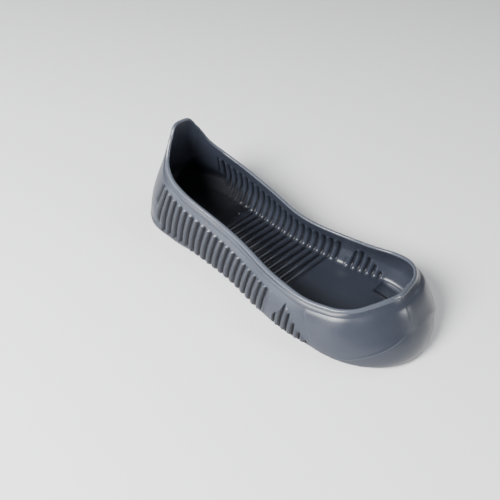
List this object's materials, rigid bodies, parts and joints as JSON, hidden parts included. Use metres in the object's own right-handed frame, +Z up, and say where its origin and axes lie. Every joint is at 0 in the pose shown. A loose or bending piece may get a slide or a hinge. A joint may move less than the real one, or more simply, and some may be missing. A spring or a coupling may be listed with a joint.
{
  "type": "rubber overshoe",
  "caption": "Moulded rubber overshoe for a right foot: open top with a heel tab, closed toe cap, concertina ribs and a block tread.",
  "frame": {"origin": "on the ground, under the middle of the overshoe's box", "axes": "+X towards the toe, +Y towards the other foot (this is a right shoe), +Z up"},
  "size_m": [0.289, 0.1214, 0.092],
  "materials": {
    "rubber": "slate grey moulded rubber, semi-gloss, with fine mould marks"
  },
  "bodies": {
    "root": {"overshoe": "rubber"}
  },
  "joints": []
}
